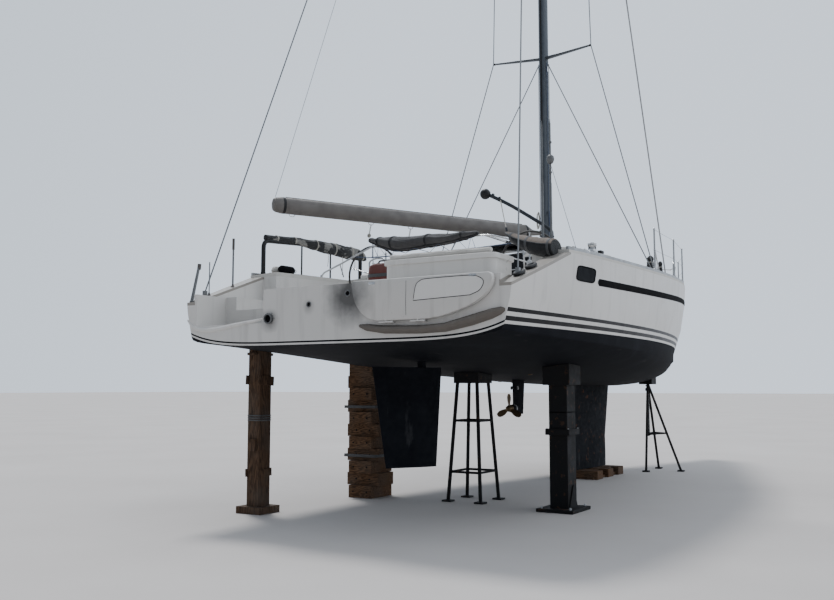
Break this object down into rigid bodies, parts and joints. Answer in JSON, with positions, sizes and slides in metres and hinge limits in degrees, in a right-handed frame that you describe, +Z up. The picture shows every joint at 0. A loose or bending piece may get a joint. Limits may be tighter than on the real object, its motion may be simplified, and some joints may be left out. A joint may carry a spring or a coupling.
{
  "type": "sailing yacht",
  "caption": "Wide-sterned sloop laid up ashore on keel blocks and stands, boom swung to port, rudder turned, fold-down transom platform.",
  "frame": {"origin": "on the ground at the centre of the middle keel block", "axes": "+X towards the bow, +Y to port, +Z up along the mast"},
  "size_m": [14.224, 4.8012, 20.9],
  "materials": {
    "gelcoat": "gloss white gelcoat",
    "deck_paint": "matt non-slip paint",
    "antifoul": "matt near-black antifouling",
    "keel_iron": "antifouled cast iron",
    "spar": "dark slate anodised",
    "boom_paint": "taupe-grey paint",
    "steel": "polished stainless steel",
    "wire": "stainless rod and wire",
    "black_metal": "black paint",
    "davit_paint": "dark blue-grey paint",
    "smoked": "smoked acrylic",
    "cloth": "dark woven cloth",
    "canvas": "light canvas, dark underside",
    "timber": "weathered brown timber",
    "bronze": "dull bronze"
  },
  "bodies": {
    "yacht": {"hull": "gelcoat", "deck": "deck_paint", "coachroof": "gelcoat", "coachroof_glass_port": "smoked", "coachroof_glass_stbd": "smoked", "companion_steps": "timber", "mast_post": "steel", "fore_hatch_coaming": "steel", "coaming_port": "gelcoat", "winch_port": "steel", "helm_pedestal_port": "gelcoat", "toe_rail_port": "steel", "shrouds_port": "wire", "backstay_port": "wire", "coaming_stbd": "gelcoat", "winch_stbd": "steel", "helm_pedestal_stbd": "gelcoat", "toe_rail_stbd": "steel", "shrouds_stbd": "wire", "backstay_stbd": "wire", "helm_bench_stbd": "gelcoat", "transom_step": "deck_paint", "exhaust_outlet": "steel", "pulpit": "steel", "pushpit_port": "black_metal", "rail_roll_port": "cloth", "corner_seat": "cloth", "antenna_pole_aft": "black_metal", "antenna_pole_fore": "black_metal", "davit_base": "davit_paint", "bimini_roll": "canvas", "bimini_frame": "steel", "mast": "spar", "stem_head": "steel", "keel": "keel_iron", "saildrive_leg": "antifoul", "keel_blocks": "timber", "timber_prop_port": "timber", "timber_pile_port": "timber", "steel_column_stbd": "black_metal", "frame_stand_aft": "black_metal", "tripod_stbd": "black_metal", "tripod_port": "black_metal"},
    "rudder": {"rudder": "antifoul"},
    "propeller": {"propeller": "bronze"},
    "boom": {"boom": "boom_paint"},
    "furler": {"headsail_furler": "wire"},
    "helm_port": {"helm_wheel_port": "steel"},
    "helm_stbd": {"helm_wheel_stbd": "steel"},
    "transom_platform": {"transom_door": "gelcoat"},
    "slide_hatch": {"companion_slide": "smoked"},
    "cabin_door": {"companion_door": "smoked"},
    "fore_hatch_lid": {"fore_hatch": "smoked"},
    "roof_hatch_lid": {"coachroof_hatch": "smoked"},
    "locker_port": {"locker_lid_port": "deck_paint"},
    "locker_stbd": {"locker_lid_stbd": "deck_paint"},
    "davit_arm": {"davit": "davit_paint"}
  },
  "joints": [
    {"name": "helm_port_turn", "type": "hinge", "parent": "yacht", "child": "helm_port", "pos_m": [-5.3, 1.25, 3.27], "axis": [1, 0, 0], "range_deg": [-40, 520]},
    {"name": "helm_stbd_turn", "type": "hinge", "parent": "yacht", "child": "helm_stbd", "pos_m": [-5.3, -1.25, 3.27], "axis": [1, 0, 0], "range_deg": [-40, 520]},
    {"name": "rudder_turn", "type": "hinge", "parent": "yacht", "child": "rudder", "pos_m": [-6, 0, 1.9], "axis": [0, 0, 1], "range_deg": [-5, 65]},
    {"name": "propeller_spin", "type": "hinge", "parent": "yacht", "child": "propeller", "pos_m": [-3.35, 0, 1.3], "axis": [1, 0, 0], "continuous": true},
    {"name": "boom_swing", "type": "hinge", "parent": "yacht", "child": "boom", "pos_m": [-2, 0, 4.25], "axis": [0, 0, 1], "range_deg": [-37, 93]},
    {"name": "furler_turn", "type": "hinge", "parent": "yacht", "child": "furler", "pos_m": [5.62, 0, 4.01], "axis": [-0.3943, 0, 0.919], "continuous": true},
    {"name": "transom_platform_fold", "type": "hinge", "parent": "yacht", "child": "transom_platform", "pos_m": [-8.086, 0, 2.331], "axis": [0, -1, 0], "range_deg": [0, 90]},
    {"name": "slide_hatch_slide", "type": "slide", "parent": "yacht", "child": "slide_hatch", "axis": [1, 0, 0], "range_m": [0, 0.6]},
    {"name": "cabin_door_swing", "type": "hinge", "parent": "yacht", "child": "cabin_door", "pos_m": [-3.424, -0.354, 3.2], "axis": [0, 0, 1], "range_deg": [0, 105]},
    {"name": "fore_hatch_lift", "type": "hinge", "parent": "yacht", "child": "fore_hatch_lid", "pos_m": [2.894, 0, 3.7145], "axis": [0, 1, 0], "range_deg": [0, 100]},
    {"name": "roof_hatch_lift", "type": "hinge", "parent": "yacht", "child": "roof_hatch_lid", "pos_m": [0.584, 0, 3.8445], "axis": [0, 1, 0], "range_deg": [0, 100]},
    {"name": "locker_port_lift", "type": "hinge", "parent": "yacht", "child": "locker_port", "pos_m": [-4.2, 1.484, 3.039], "axis": [-1, 0, 0], "range_deg": [0, 85]},
    {"name": "locker_stbd_lift", "type": "hinge", "parent": "yacht", "child": "locker_stbd", "pos_m": [-4.2, -1.484, 3.039], "axis": [1, 0, 0], "range_deg": [0, 85]},
    {"name": "davit_swing", "type": "hinge", "parent": "yacht", "child": "davit_arm", "pos_m": [-6.4, -2.03, 3.3], "axis": [0, 0, 1], "range_deg": [-120, 20]}
  ],
  "couplings": [
    {"joint": "rudder_turn", "follows": "helm_port_turn", "ratio": 0.125},
    {"joint": "helm_stbd_turn", "follows": "helm_port_turn", "ratio": 1}
  ]
}
